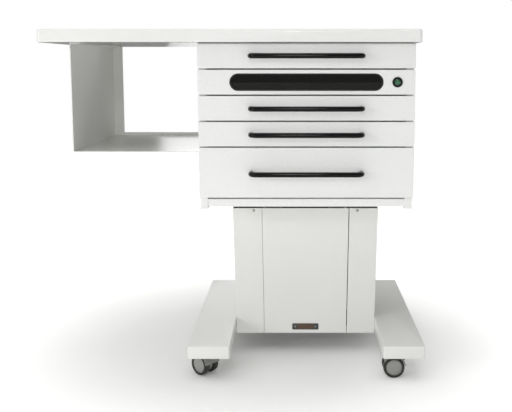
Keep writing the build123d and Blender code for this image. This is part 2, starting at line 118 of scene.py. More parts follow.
def texturedMaterial(name, look, values=None):
    # A slow drift between two tones, and a fine grain that moves the gloss and the relief.
    # grain is in millimetres, for each axis
    material, tree, shader, place = startMaterial(name, values or {"IOR": 1.5})
    drift = addNode(
        tree, "ShaderNodeTexNoise", {"Scale": 1 / (sharedPattern["drift"] * mm), "Detail": 2.0}, {"Vector": place}
    )
    scales = [1 / (size * mm) for size in look["grain"]]
    stretched = addNode(tree, "ShaderNodeMapping", {"Scale": scales}, {"Vector": place})
    grain = addNode(
        tree, "ShaderNodeTexNoise", {"Scale": 1.0, "Detail": 2.5}, {"Vector": stretched.outputs["Vector"]}
    )
    driftShare = addNode(
        tree, "ShaderNodeMapRange", {"From Min": 0.35, "From Max": 0.65}, {"Value": drift.outputs["Fac"]}
    )
    tone = addNode(
        tree,
        "ShaderNodeMix",
        {"data_type": "RGBA", 6: look["tones"][0], 7: look["tones"][1]},
        {0: driftShare.outputs["Result"]},
    )
    grainShare = addNode(
        tree,
        "ShaderNodeMapRange",
        {"From Min": 0.45, "From Max": 0.75, "To Max": sharedPattern["speckle"]},
        {"Value": grain.outputs["Fac"]},
    )
    speckled = addNode(
        tree,
        "ShaderNodeMix",
        {"data_type": "RGBA", 7: look["tones"][2]},
        {0: grainShare.outputs["Result"], 6: tone.outputs[2]},
    )
    low, high = look["gloss"]
    gloss = addNode(
        tree,
        "ShaderNodeMapRange",
        {"From Min": 0.3, "From Max": 0.7, "To Min": low, "To Max": high},
        {"Value": grain.outputs["Fac"]},
    )
    bump = addNode(
        tree,
        "ShaderNodeBump",
        {"Strength": sharedPattern["relief"], "Distance": look["height"] * mm},
        {"Height": grain.outputs["Fac"]},
    )
    tree.links.new(speckled.outputs[2], shader.inputs["Base Color"])
    tree.links.new(gloss.outputs["Result"], shader.inputs["Roughness"])
    tree.links.new(bump.outputs["Normal"], shader.inputs["Normal"])
    return material


def paintedUndersideShade(material, code):
    # The worktop's downward faces are painted a dull grey: painted shade under the worktop
    tree = material.node_tree
    shader = tree.nodes["Principled BSDF"]
    facing = addNode(
        tree, "ShaderNodeSeparateXYZ", {}, {"Vector": addNode(tree, "ShaderNodeTexCoord").outputs["Normal"]}
    )
    share = addNode(
        tree,
        "ShaderNodeMapRange",
        {"From Min": -0.9, "From Max": -0.6, "To Min": 1.0, "To Max": 0.0},  # faces that look down
        {"Value": facing.outputs["Z"]},
    )
    laminate = shader.inputs["Base Color"].links[0].from_socket
    tone = addNode(tree, "ShaderNodeMix", {"data_type": "RGBA", 7: code}, {0: share.outputs["Result"], 6: laminate})
    tree.links.new(tone.outputs[2], shader.inputs["Base Color"])


# Lacquered MDF, sprayed and left to flow: cool white, with broad soft reflections broken by a faint orange peel
lacqueredBoard = texturedMaterial(
    "lacqueredBoard",
    {"tones": ("F1F2F0", "EFF0EE", "F4F5F3"), "grain": (6, 6, 6), "gloss": (0.26, 0.34), "height": 0.006},
    {"IOR": 1.5, "Coat Weight": 0.3, "Coat Roughness": 0.1},
)
# High-pressure laminate pressed in a polished plate: bright white, glossier than the lacquer, paper mottle in it
pressedLaminate = texturedMaterial(
    "pressedLaminate",
    {"tones": ("F3F3F1", "EFEFEC", "E6E6E2"), "grain": (1.6, 1.6, 1.6), "gloss": (0.2, 0.27), "height": 0.01},
    {"IOR": 1.52, "Coat Weight": 0.25, "Coat Roughness": 0.06},
)
# painted shade: the worktop's underside is painted grey
paintedUndersideShade(pressedLaminate, "7C7C78")
# Polyester powder coat on sheet steel: even semi-gloss with a pebble, drawn at 1.4 mm so that it shows, which is
# about three times the real size
whitePowderCoat = texturedMaterial(
    "whitePowderCoat",
    {"tones": ("EEEEEB", "EAEAE7", "E4E4E0"), "grain": (1.4, 1.4, 1.4), "gloss": (0.34, 0.45), "height": 0.03},
    {"IOR": 1.5, "Coat Weight": 0.1},
)
# A smoother, glossier coat on the side shelf: near white, and it mirrors its own corners faintly
shelfPowderCoat = texturedMaterial(
    "shelfPowderCoat",
    {"tones": ("EFEFEB", "EBEBE7", "E4E4E0"), "grain": (2.2, 2.2, 2.2), "gloss": (0.18, 0.26), "height": 0.012},
    {"IOR": 1.5},
)
# Light grey powder coat on the drawers' trays: duller than the white
greyPowderCoat = texturedMaterial(
    "greyPowderCoat",
    {"tones": ("D3D6D5", "CDD0CF", "C4C7C6"), "grain": (1.4, 1.4, 1.4), "gloss": (0.4, 0.52), "height": 0.03},
)
# Graphite satin powder coat, on the welded frame and on the nameplate's rim. The frame's dark neck in the gap
# under the cabinet is painted shade: it reads as a dark line under the cabinet
graphiteCoatAndGapShade = texturedMaterial(
    "graphiteCoatAndGapShade",
    {"tones": ("4E4F4E", "474847", "5A5B5A"), "grain": (1.4, 1.4, 1.4), "gloss": (0.42, 0.55), "height": 0.03},
)
# Enamelled steel bow handle: black and polished, with a short bright streak on the bar
blackEnamel = texturedMaterial(
    "blackEnamel",
    {"tones": ("0A0A0A", "070707", "0E0E0E"), "grain": (6, 1, 1), "gloss": (0.06, 0.1), "height": 0.002},
    {"IOR": 1.5, "Specular IOR Level": 0.22},
)
# Moulded ABS with a fine spark-eroded grain: black, satin
mouldedAbs = texturedMaterial(
    "mouldedAbs",
    {"tones": ("121412", "0E100E", "1A1C1A"), "grain": (0.6, 0.6, 0.6), "gloss": (0.26, 0.38), "height": 0.02},
    {"IOR": 1.53, "Specular IOR Level": 0.3},
)
# Extruded EPDM: matt black with lines along its length
extrudedRubber = texturedMaterial(
    "extrudedRubber",
    {"tones": ("131313", "0F0F0F", "1C1C1C"), "grain": (4, 0.5, 0.5), "gloss": (0.5, 0.65), "height": 0.02},
    {"IOR": 1.52, "Sheen Weight": 0.1},
)
# Moulded polycarbonate lamp sockets: white, slightly glossy
whitePolycarbonate = texturedMaterial(
    "whitePolycarbonate",
    {"tones": ("E6E6E2", "DFDFDA", "D6D6D1"), "grain": (0.8, 0.8, 0.8), "gloss": (0.28, 0.38), "height": 0.015},
    {"IOR": 1.58},
)
# Glass-filled nylon hood: mid grey with a wide sheen over its curve
mouldedNylon = texturedMaterial(
    "mouldedNylon",
    {"tones": ("83837F", "7B7B77", "8D8D89"), "grain": (0.9, 0.9, 0.9), "gloss": (0.3, 0.42), "height": 0.02},
    {"IOR": 1.53},
)
# Polyurethane tread: dark, smooth where it rolls, with faint lines round the wheel
castPolyurethane = texturedMaterial(
    "castPolyurethane",
    {"tones": ("292B26", "22241F", "33352F"), "grain": (2.5, 2.5, 0.7), "gloss": (0.34, 0.46), "height": 0.02},
    {"IOR": 1.49},
)
# Wheel discs of grey nylon from a polished mould: a soft gradient runs over their domes
greyNylon = texturedMaterial(
    "greyNylon",
    {"tones": ("9A9A96", "939390", "868682"), "grain": (0.9, 0.9, 0.9), "gloss": (0.16, 0.24), "height": 0.005},
    {"IOR": 1.53},
)
# Cold-rolled runners with bright zinc plating: silvery, drawn lines along the length and a soft spangle
zincPlate = texturedMaterial(
    "zincPlate",
    {"tones": ("C3C6C9", "B4B7BA", "A3A6A8"), "grain": (0.5, 30, 0.5), "gloss": (0.24, 0.42), "height": 0.01},
    {"Metallic": 1.0},
)
# Nickel-plated screw heads and pins: brighter than the zinc, with turned rings too fine to see
nickelPlate = texturedMaterial(
    "nickelPlate",
    {"tones": ("CFCDC8", "C4C2BD", "B1AFAA"), "grain": (0.6, 0.6, 0.6), "gloss": (0.18, 0.3), "height": 0.006},
    {"Metallic": 1.0},
)
# Anodised aluminium plate, brushed along its length and dyed brown: a greyish brown dull metal
brownAnodised = texturedMaterial(
    "brownAnodised",
    {"tones": ("7A675B", "6D5B50", "564940"), "grain": (12, 0.4, 0.4), "gloss": (0.3, 0.46), "height": 0.01},
    {"Metallic": 1.0},
)
# Quartz tube: clear with a bluish cast, glass-smooth
quartzGlass = texturedMaterial(
    "quartzGlass",
    {"tones": ("EAF1F6", "DFE9F1", "D2DFEA"), "grain": (20, 3, 3), "gloss": (0.03, 0.07), "height": 0.005},
    {"IOR": 1.46, "Transmission Weight": 0.6},
)


# The pane is painted lighter below an edge a little under its middle, as a painted reflection. Sizes are in
# millimetres
paneLook = {
    "above": "080907",
    "paintedLightBelow": "222420",
    "paintedLightStreak": "1A1C19",
    "edgeDown": 1.0,
    "edgeSoft": 1.0,
    "cloud": (83.3, 25, 8.33),
    "gloss": (0.04, 0.1),
}


def smokedAcrylic(look):
    # Cast acrylic, dark smoke, polished: almost black and mirror-smooth. Its lower half is painted a little
    # lighter, with faint streaks: a painted reflection
    material, tree, shader, place = startMaterial("smokedAcrylic", {"IOR": 1.49})
    low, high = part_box("window_pane")
    edge, soft = (low.z + high.z) / 2 - look["edgeDown"] * mm, look["edgeSoft"] * mm
    height = addNode(tree, "ShaderNodeSeparateXYZ", {}, {"Vector": place})
    # painted reflection: below this edge the pane is painted lighter
    upper = addNode(
        tree,
        "ShaderNodeMapRange",
        {"From Min": edge - soft, "From Max": edge + soft},
        {"Value": height.outputs["Z"]},
    )
    scales = [1 / (size * mm) for size in look["cloud"]]
    stretched = addNode(tree, "ShaderNodeMapping", {"Scale": scales}, {"Vector": place})
    cloud = addNode(
        tree, "ShaderNodeTexNoise", {"Scale": 1.0, "Detail": 2.0}, {"Vector": stretched.outputs["Vector"]}
    )
    # painted reflection: the lighter, streaky tones of the pane's lower half
    lower = addNode(
        tree, "ShaderNodeMix", {"data_type": "RGBA", 6: look["paintedLightStreak"], 7: look["paintedLightBelow"]}, {0: cloud.outputs["Fac"]}
    )
    tone = addNode(
        tree,
        "ShaderNodeMix",
        {"data_type": "RGBA", 7: look["above"]},
        {0: upper.outputs["Result"], 6: lower.outputs[2]},
    )
    low, high = look["gloss"]
    gloss = addNode(tree, "ShaderNodeMapRange", {"To Min": low, "To Max": high}, {"Value": cloud.outputs["Fac"]})
    bump = addNode(
        tree, "ShaderNodeBump", {"Strength": 0.2, "Distance": 0.01 * mm}, {"Height": cloud.outputs["Fac"]}
    )
    tree.links.new(tone.outputs[2], shader.inputs["Base Color"])
    tree.links.new(gloss.outputs["Result"], shader.inputs["Roughness"])
    tree.links.new(bump.outputs["Normal"], shader.inputs["Normal"])
    return material


# ribs is the distance from ring to ring and ribHigh their height, in millimetres
lensLook = {"middle": "38754F", "rim": "143A24", "ribs": 1.1, "ribHigh": 0.1, "gloss": (0.12, 0.24)}


def greenLens(look):
    # Injection-moulded green polycarbonate with concentric ribs on its back: deep at the rim, lighter inside
    material, tree, shader, place = startMaterial(
        "greenPolycarbonate", {"IOR": 1.58, "Coat Weight": 0.5, "Coat Roughness": 0.05}
    )
    low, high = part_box("button_cap")
    centre = (low + high) / 2
    offset = addNode(
        tree, "ShaderNodeVectorMath", {"operation": "SUBTRACT", 1: (centre.x, 0, centre.z)}, {0: place}
    )
    flat = addNode(
        tree, "ShaderNodeVectorMath", {"operation": "MULTIPLY", 1: (1, 0, 1)}, {0: offset.outputs["Vector"]}
    )
    radius = addNode(tree, "ShaderNodeVectorMath", {"operation": "LENGTH"}, {0: flat.outputs["Vector"]})
    share = addNode(
        tree,
        "ShaderNodeMapRange",
        {"From Min": 1 * mm, "From Max": (high.x - low.x) / 2},
        {"Value": radius.outputs["Value"]},
    )
    tone = addNode(
        tree,
        "ShaderNodeMix",
        {"data_type": "RGBA", 6: look["middle"], 7: look["rim"]},
        {0: share.outputs["Result"]},
    )
    turns = addNode(
        tree,
        "ShaderNodeMath",
        {"operation": "MULTIPLY", 1: 2 * math.pi / (look["ribs"] * mm)},
        {0: radius.outputs["Value"]},
    )
    ribs = addNode(tree, "ShaderNodeMath", {"operation": "SINE"}, {0: turns.outputs["Value"]})
    bump = addNode(
        tree,
        "ShaderNodeBump",
        {"Strength": sharedPattern["relief"], "Distance": look["ribHigh"] * mm},
        {"Height": ribs.outputs["Value"]},
    )
    shiny, dull = look["gloss"]
    gloss = addNode(
        tree,
        "ShaderNodeMapRange",
        {"From Min": -1, "From Max": 1, "To Min": shiny, "To Max": dull},
        {"Value": ribs.outputs["Value"]},
    )
    tree.links.new(tone.outputs[2], shader.inputs["Base Color"])
    tree.links.new(gloss.outputs["Result"], shader.inputs["Roughness"])
    tree.links.new(bump.outputs["Normal"], shader.inputs["Normal"])
    return material


smokedPane = smokedAcrylic(paneLook)
greenPolycarbonate = greenLens(lensLook)
print("materials made")


def loft(mesh, loops, materialIndex=0, closeStart=True, closeEnd=True):
    # Joins loops of points, all with the same number of points; a one-point loop is a tip
    rows = [[mesh.verts.new(point) for point in loop] for loop in loops]
    count = max(len(row) for row in rows)
    made = []
    for first, second in zip(rows, rows[1:]):
        for step in range(count):
            after = (step + 1) % count
            corners = [first[step % len(first)], first[after % len(first)]]
            corners += [second[after % len(second)], second[step % len(second)]]
            corners = list(dict.fromkeys(corners))
            if len(corners) > 2:
                made.append(mesh.faces.new(corners))
    for row, wanted in ((rows[0], closeStart), (rows[-1], closeEnd)):
        if wanted and len(row) > 2:
            made.append(mesh.faces.new(row))
    for face in made:
        face.material_index = materialIndex
    return made


def latheLoops(profile, steps, origin, axis, start=None):
    # One loop for each (radius, distance along the axis) point
    axis = Vector(axis).normalized()
    side = Vector(start).normalized() if start else axis.orthogonal().normalized()
    other = axis.cross(side)
    loops = []
    for radius, along in profile:
        centre = Vector(origin) + axis * along
        if radius == 0:
            loops.append([centre])
            continue
        turns = [2 * math.pi * step / steps for step in range(steps)]
        loops.append([centre + (side * math.cos(turn) + other * math.sin(turn)) * radius for turn in turns])
    return loops


def roundedLoop(xLow, xHigh, yLow, yHigh, radius, z, perCorner=5):
    # A level rectangle with round corners
    points = []
    for cornerX, cornerY, quarter in ((xHigh, yHigh, 0), (xLow, yHigh, 1), (xLow, yLow, 2), (xHigh, yLow, 3)):
        centreX = cornerX - radius if cornerX == xHigh else cornerX + radius
        centreY = cornerY - radius if cornerY == yHigh else cornerY + radius
        for step in range(perCorner):
            turn = math.pi / 2 * (quarter + step / (perCorner - 1))
            points.append(Vector((centreX + radius * math.cos(turn), centreY + radius * math.sin(turn), z)))
    return points


curveShare = 0.3  # a rounding's middle point lies this share of its radius in from both faces
weldWithin = 0.001 * mm


def finishPiece(name, mesh, body, materials, replaced=(), sharpAbove=32):
    # Smooth faces with sharp edges above the angle in degrees, riding on its body
    bmesh.ops.recalc_face_normals(mesh, faces=mesh.faces[:])
    for face in mesh.faces:
        face.smooth = True
    for edge in mesh.edges:
        edge.smooth = len(edge.link_faces) == 2 and edge.calc_face_angle() < math.radians(sharpAbove)
    data = bpy.data.meshes.new(name)
    mesh.to_mesh(data)
    mesh.free()
    for material in materials:
        data.materials.append(material)
    piece = bpy.data.objects.new(name, data)
    bpy.context.scene.collection.objects.link(piece)
    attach(piece, body)
    if replaced:
        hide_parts(*replaced)
    return piece


# Finishes on the parts that keep their own shape
finishes = {
    "worktop": pressedLaminate,
    "side_panel_left": lacqueredBoard,
    "side_panel_right": lacqueredBoard,
    "back_panel": lacqueredBoard,
    "bottom_panel": lacqueredBoard,
    "top_rails": lacqueredBoard,
    "side_shelf": shelfPowderCoat,
    "column_collar": whitePowderCoat,
    "column_front_panel": whitePowderCoat,
    "column_cover_left": whitePowderCoat,
    "column_cover_right": whitePowderCoat,
    "column_back_panel": whitePowderCoat,
    # painted shade: the frame's graphite neck darkens the gap under the cabinet
    "column_frame": graphiteCoatAndGapShade,
    "foot_bolts": zincPlate,
    "cabinet_runners": zincPlate,
    "caster_stems": zincPlate,
    "power_inlet": mouldedAbs,
    "uv_drawer_front": lacqueredBoard,
    "uv_drawer_runners": zincPlate,
    "window_pane": smokedPane,
    "window_gasket": extrudedRubber,
    "lamp_holders": whitePolycarbonate,
    "lamp_ballast": whitePolycarbonate,
    "button_bezel": mouldedAbs,
}
for drawer in plainDrawers:
    finishes[drawer + "_front"] = lacqueredBoard
    finishes[drawer + "_runners"] = zincPlate
    finishes[drawer + "_handle"] = blackEnamel
for caster in casterNames:
    finishes["caster_" + caster + "_axle"] = nickelPlate
for name, material in finishes.items():
    for place in nodes[name].material_slots:
        place.material = material
print("finishes on", len(finishes), "parts")

# Drawer trays, pressed from one sheet: round corners, a radius round the floor and a folded rim, in millimetres
trayShape = {
    "sheet": 1.5,
    "corner": 5.0,
    "tightest": 0.8,
    "floorRadius": 3.0,
    "hemWide": 4.2,
    "hemDeep": 7.0,
    "hemReturn": 0.8,
    "rim": (0.3, 0.9),  # the rounding on top, halfway and whole
}


def makeTray(drawer, shape):
    low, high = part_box(drawer + "_tray")
    sheet, curve, wide, deep = (shape[key] for key in ("sheet", "floorRadius", "hemWide", "hemDeep"))
    bottom, top = low.z / mm, high.z / mm
    half, rim = shape["rim"]
    eased = curveShare * curve
    # (distance in from the outside, height), up the outside, over the hem and down the inside
    profile = [(curve, bottom), (eased, bottom + eased), (0, bottom + curve), (0, top - rim)]
    profile += [(half, top - half), (rim, top), (wide - rim, top), (wide - half, top - half), (wide, top - rim)]
    profile += [(wide, top - deep), (sheet, top - deep - shape["hemReturn"]), (sheet, bottom + sheet + curve)]
    profile += [(sheet + eased, bottom + sheet + eased), (sheet + curve, bottom + sheet)]
    mesh = bmesh.new()
    loops = []
    for inset, height in profile:
        radius = max(shape["corner"] - inset, shape["tightest"]) * mm
        edges = (low.x + inset * mm, high.x - inset * mm, low.y + inset * mm, high.y - inset * mm)
        loops.append(roundedLoop(*edges, radius, height * mm))
    loft(mesh, loops)
    finishPiece(drawer + "_pressed_tray", mesh, drawer, [greyPowderCoat], [drawer + "_tray"])


for drawer in allDrawers:
    makeTray(drawer, trayShape)
print("trays made")

# Feet: closed steel sections with every edge and corner rounded, in millimetres
footShape = {"edge": 1.5, "edgeSteps": 5, "corner": 3.5, "cornerSteps": 7}


def makeFoot(side, shape):
    low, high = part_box("foot_" + side)
    edge, corner = shape["edge"] * mm, shape["corner"] * mm
    mesh = bmesh.new()
    loops = []
    for rising in (True, False):
        for step in range(shape["edgeSteps"]):
            turn = math.pi / 2 * step / (shape["edgeSteps"] - 1)
            inset = edge * (1 - math.sin(turn)) if rising else edge * (1 - math.cos(turn))
            level = low.z + edge * (1 - math.cos(turn)) if rising else high.z - edge * (1 - math.sin(turn))
            edges = (low.x + inset, high.x - inset, low.y + inset, high.y - inset)
            loops.append(roundedLoop(*edges, corner - inset, level, shape["cornerSteps"]))
    loft(mesh, loops)
    # the end caps of both feet are one part, which the left shell stands for
    replaced = ["foot_" + side] + (["foot_end_caps"] if side == "left" else [])
    finishPiece("foot_shell_" + side, mesh, "cabinet", [whitePowderCoat], replaced)


for side in ("left", "right"):
    makeFoot(side, footShape)
print("feet made")

# Pan-head screws with a cross recess, in millimetres. The profile is in shares of the head's radius and thickness
screwShape = {
    "head": 4.0,
    "thick": 2.0,
    "profile": ((1, 0), (1, 0.35), (0.93, 0.7), (0.78, 0.9), (0.64, 1)),
    "slotHalf": 0.5,
    "slotReach": 2.2,
    "slotDeep": 1.1,
    "slotFloor": 0.8,  # the recess's floor, as a share of its mouth
    "shank": 2.4,
    "shankLong": 3.0,
}
# Three along the shelf's flange, and one near each upper corner of the column's front and back
screwPlaces = {"along": (-150, -4.5, 141), "up": 15.5, "flange": 2.0, "coverOut": 132, "coverDown": 6.0}


def addScrew(mesh, seat, out, shape):
    # seat is the middle of the head's underside, out the way it faces
    out = Vector(out)
    side = out.orthogonal().normalized()
    other = out.cross(side)
    half, reach = shape["slotHalf"], shape["slotReach"]
    between = (reach + half) / 2
    cross = [(reach, 0), (reach, half), (between, half), (half, half), (half, between), (half, reach)]
    for _ in range(3):
        cross += [(-y, x) for x, y in cross[-6:]]
    turns = [math.atan2(y, x) for x, y in cross]
    head, thick, floor = shape["head"], shape["thick"], shape["slotFloor"]
    rings = [(shape["shank"], -shape["shankLong"]), (shape["shank"], 0)]
    rings += [(head * wide, thick * tall) for wide, tall in shape["profile"]]
    outlines = [([(r * math.cos(turn), r * math.sin(turn)) for turn in turns], height) for r, height in rings]
    outlines += [(cross, thick), ([(floor * x, floor * y) for x, y in cross], thick - shape["slotDeep"])]
    loops = []
    for outline, height in outlines:
        loops.append([Vector(seat) + (side * x + other * y + out * height) * mm for x, y in outline])
    loft(mesh, loops)


def makePanelScrews(shape, places):
    mesh = bmesh.new()
    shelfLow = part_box("side_shelf")[0]
    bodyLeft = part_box("side_panel_left")[0].x
    leftCover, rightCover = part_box("column_cover_left"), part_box("column_cover_right")
    for y in places["along"]:
        seat = (bodyLeft - places["flange"] * mm, y * mm, shelfLow.z + places["up"] * mm)
        addScrew(mesh, seat, (-1, 0, 0), shape)
    middle = (leftCover[0].x + rightCover[1].x) / 2
    level = leftCover[1].z - places["coverDown"] * mm
    for way in (-1, 1):
        x = middle + way * places["coverOut"] * mm
        addScrew(mesh, (x, leftCover[0].y, level), (0, -1, 0), shape)
        addScrew(mesh, (x, leftCover[1].y, level), (0, 1, 0), shape)
    finishPiece("panel_screw_heads", mesh, "cabinet", [nickelPlate], ["panel_screws"])


makePanelScrews(screwShape, screwPlaces)
print("screws made")

# Nameplate: a dark rimmed plate with a brown field between two rivets, and nothing written on it, in millimetres
plateShape = {
    "corner": 2.5,
    "edge": 0.5,
    "field": 42.0,
    "margin": 1.6,
    "fieldCorner": 1.0,
    "fieldEdge": ((0, -0.25), (0, 0.08), (0.3, 0.14)),  # (distance in, height over the plate)
    "rivet": 1.9,
    "rivetIn": 8.0,
    # the rivet's head: (share of its radius, height)
    "dome": ((1, -0.3), (1, 0.1), (0.95, 0.35), (0.8, 0.6), (0.5, 0.8), (0.2, 0.88), (0, 0.9)),
    "turns": 24,
}


def makeNameplate(shape):
    low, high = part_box("nameplate")
    mesh = bmesh.new()
    corner, edge, margin, bend = (shape[key] * mm for key in ("corner", "edge", "margin", "fieldCorner"))
    # built lying flat, then stood up against the column
    width, tall, thick = high.x - low.x, high.z - low.z, high.y - low.y
    eased = curveShare * edge
    profile = [(0, 0), (0, thick - edge), (eased, thick - eased), (edge, thick)]
    loft(mesh, [roundedLoop(i, width - i, i, tall - i, corner - i, z) for i, z in profile])
    side = (width - shape["field"] * mm) / 2
    steps = [(inset * mm, thick + up * mm) for inset, up in shape["fieldEdge"]]
    field = [roundedLoop(side + i, width - side - i, margin + i, tall - margin - i, bend, z) for i, z in steps]
    loft(mesh, field, 1)
    for x in (shape["rivetIn"] * mm, width - shape["rivetIn"] * mm):
        profile = [(share * shape["rivet"] * mm, thick + up * mm) for share, up in shape["dome"]]
        loft(mesh, latheLoops(profile, shape["turns"], (x, tall / 2, 0), (0, 0, 1)), 2)
    stand = Matrix(((1, 0, 0, low.x), (0, 0, -1, high.y), (0, 1, 0, low.z), (0, 0, 0, 1)))
    bmesh.ops.transform(mesh, matrix=stand, verts=mesh.verts[:])
    materials = [graphiteCoatAndGapShade, brownAnodised, zincPlate]
    finishPiece("nameplate_riveted", mesh, "cabinet", materials, ["nameplate"])


makeNameplate(plateShape)
print("nameplate made")

# Push button: a domed green lens in a stepped dark ring, in millimetres
buttonShape = {
    "ring": 0.5,
    "shoulder": ((0, 0.5), (0.3, 0.1)),  # (in from the ring's side, back from its face)
    "step": 0.15,
    "groove": 0.35,
    "dome": 0.9,
    "lensProud": 0.1,
    "rings": 7,
    "turns": 48,
}


def makeButton(shape):
    low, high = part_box("button_cap")
    centre = (low + high) / 2
    radius = (high.x - low.x) / 2
    mesh = bmesh.new()
    ring, dome, groove = (shape[key] * mm for key in ("ring", "dome", "groove"))
    origin = (centre.x, low.y, centre.z)
    inner = radius - ring - shape["step"] * mm
    # (radius, distance back from the lens's highest point)
    shell = [(radius, high.y - low.y)]
    shell += [(radius - side * mm, dome + back * mm) for side, back in shape["shoulder"]]
    shell += [(radius - ring, dome), (inner, dome + groove)]
    loft(mesh, latheLoops(shell, shape["turns"], origin, (0, 1, 0)), 0, True, False)
    rim, rings = dome - shape["lensProud"] * mm, shape["rings"]
    lens = [(inner, dome + groove), (inner, rim)]
    lens += [(inner * share / rings, rim * (share / rings) ** 2) for share in range(rings - 1, -1, -1)]
    loft(mesh, latheLoops(lens, shape["turns"], origin, (0, 1, 0)), 1, False, True)
    bmesh.ops.remove_doubles(mesh, verts=mesh.verts[:], dist=weldWithin)
    finishPiece("button_lens", mesh, "button", [mouldedAbs, greenPolycarbonate], ["button_cap"])


makeButton(buttonShape)
print("button made")

# Lamp: a quartz tube in bright end sleeves, in millimetres
lampShape = {
    "tube": 7.1,
    "inSleeve": 2.0,
    "sleeve": 17.0,
    "end": ((1.4, 0), (0.5, 0.4), (0, 1.6)),  # (in from the sleeve's side, along from its end)
    "mouth": ((0, 3.0), (0.2, 1.0)),  # the same, back from its mouth
    "turns": 32,
}


def makeLamp(shape):
    low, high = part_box("uv_lamp")
    centre = (low + high) / 2
    outer = (high.z - low.z) / 2
    length = high.x - low.x
    sleeve, tube, hidden = (shape[key] * mm for key in ("sleeve", "tube", "inSleeve"))
    mesh = bmesh.new()
    glass = [(tube, sleeve - hidden), (tube, length - sleeve + hidden)]
    loft(mesh, latheLoops(glass, shape["turns"], (low.x, centre.y, centre.z), (1, 0, 0)), 0)
    cap = [(outer - inset * mm, along * mm) for inset, along in shape["end"]]
    cap += [(outer - inset * mm, sleeve - back * mm) for inset, back in shape["mouth"]] + [(tube, sleeve)]
    for start, way in ((low.x, 1), (high.x, -1)):
        loft(mesh, latheLoops(cap, shape["turns"], (start, centre.y, centre.z), (way, 0, 0)), 1)
    finishPiece("lamp_tube", mesh, "uv_drawer", [quartzGlass, nickelPlate], ["uv_lamp"])


makeLamp(lampShape)
print("lamp made")

# Twin-wheel casters: dark treads, domed grey discs and a shell over the top. The profiles are (distance from the
# caster's middle, radius) round one wheel, in millimetres
wheelShape = {
    "tread": (
        (7.0, 19.5), (7.0, 23.6), (7.5, 24.6), (8.6, 25.0), (18.0, 25.0), (20.2, 24.6),
        (21.4, 23.6), (22.0, 21.8), (22.2, 20.0), (21.9, 19.4), (21.2, 19.2), (19.6, 19.2),
    ),
    "disc": (
        (19.6, 19.2), (19.3, 18.8), (19.7, 18.2), (20.3, 16.5), (20.9, 14.4), (21.5, 11.8),
        (22.0, 8.8), (22.3, 5.6), (22.45, 2.8), (22.5, 0),
    ),
    "bore": ((20.4, 0), (20.4, 4.1), (7.0, 4.1), (7.0, 19.5)),
    "steps": 64,
}
hoodShape = {
    "arc": (35, 170),  # degrees, from the way the wheels trail
    "arcSteps": 36,
    "inner": 25.8,
    "outer": 28.3,
    "half": 22.5,
    "lip": ((1.2, 0), (0.3, 0.4), (0, 1.4)),  # (in from the outer radius, in from the side)
    "web": 6.3,
    "webRadius": 20.0,
    "webTurns": 48,
    "edge": 0.8,
    "neck": 8.5,
    "neckTurns": 32,
    "neckTaper": ((1.5, 38), (0, 46)),  # (in from the neck's side, height)
    "gusset": ((-6.5, 39), (-6.5, 50), (-2, 53.6), (20, 52.6), (20, 25)),  # (along the trail, height)
    "gussetMiddle": (8, 42),
    "gussetEdge": 0.6,
}


def casterPlace(caster):
    # The wheels' middle, the way the wheels trail, the axle's direction and a point on the stem's axis
    stem = Vector(joints[caster + "_swivel"]["pos_m"])
    middle = Vector(joints[caster + "_roll"]["pos_m"])
    trail = Vector((middle.x - stem.x, middle.y - stem.y, 0)).normalized()
    return middle, trail, Vector((0, 0, 1)).cross(trail), Vector((stem.x, stem.y, 0))


def makeWheels(caster, shape):
    middle, _, axle, _ = casterPlace(caster)
    mesh = bmesh.new()
    for way in (-1, 1):
        for index, part in ((0, "tread"), (1, "disc"), (1, "bore")):
            profile = [(radius * mm, out * mm) for out, radius in shape[part]]
            loft(mesh, latheLoops(profile, shape["steps"], middle, axle * way, (0, 0, 1)), index, False, False)
    bmesh.ops.remove_doubles(mesh, verts=mesh.verts[:], dist=weldWithin)
    materials, replaced = [castPolyurethane, greyNylon], ["caster_" + caster + "_wheels"]
    finishPiece("wheels_" + caster, mesh, caster + "_wheels", materials, replaced)


def makeHood(caster, shape):
    middle, trail, axle, stem = casterPlace(caster)
    up = Vector((0, 0, 1))
    mesh = bmesh.new()
    half, web, edge, soft = (shape[key] for key in ("half", "web", "edge", "gussetEdge"))
    # the shell over both wheels
    section = [(shape["inner"], -half)] + [(shape["outer"] - down, -half + side) for down, side in shape["lip"]]
    section += [(radius, -out) for radius, out in reversed(section)]
    loops = []
    first, last = shape["arc"]
    for step in range(shape["arcSteps"] + 1):
        turn = math.radians(first + (last - first) * step / shape["arcSteps"])
        ray = trail * math.cos(turn) + up * math.sin(turn)
        loops.append([middle + (ray * radius + axle * out) * mm for radius, out in section])
    loft(mesh, loops)
    # the web between the wheels, and the neck that the stem turns in
    reach = shape["webRadius"]
    rim = [(0, -web), (reach - edge, -web), (reach, -web + edge)]
    rim += [(radius, -out) for radius, out in reversed(rim)]
    loft(mesh, latheLoops([(radius * mm, out * mm) for radius, out in rim], shape["webTurns"], middle, axle))
    top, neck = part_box("caster_" + caster + "_hood")[1].z / mm, shape["neck"]
    turned = [(neck - inset, level) for inset, level in shape["neckTaper"]]
    turned = [(0, turned[0][1])] + turned + [(neck, top - edge), (neck - edge, top), (0, top)]
    loft(mesh, latheLoops([(radius * mm, level * mm) for radius, level in turned], shape["neckTurns"], stem, up))
    # the gusset between the neck and the web
    middleX, middleZ = shape["gussetMiddle"]
    loops = []
    for out, inset in ((-web, soft), (-web + soft, 0), (web - soft, 0), (web, soft)):
        outline = []
        for x, z in shape["gusset"]:
            outline.append((x + (inset if x < middleX else -inset), z + (inset if z < middleZ else -inset)))
        loops.append([stem + (trail * x + up * z + axle * out) * mm for x, z in outline])
    loft(mesh, loops)
    replaced = ["caster_" + caster + "_hood"]
    finishPiece("hood_" + caster, mesh, caster + "_caster", [mouldedNylon], replaced)


for caster in casterNames:
    makeWheels(caster, wheelShape)
    makeHood(caster, hoodShape)
print("casters made")

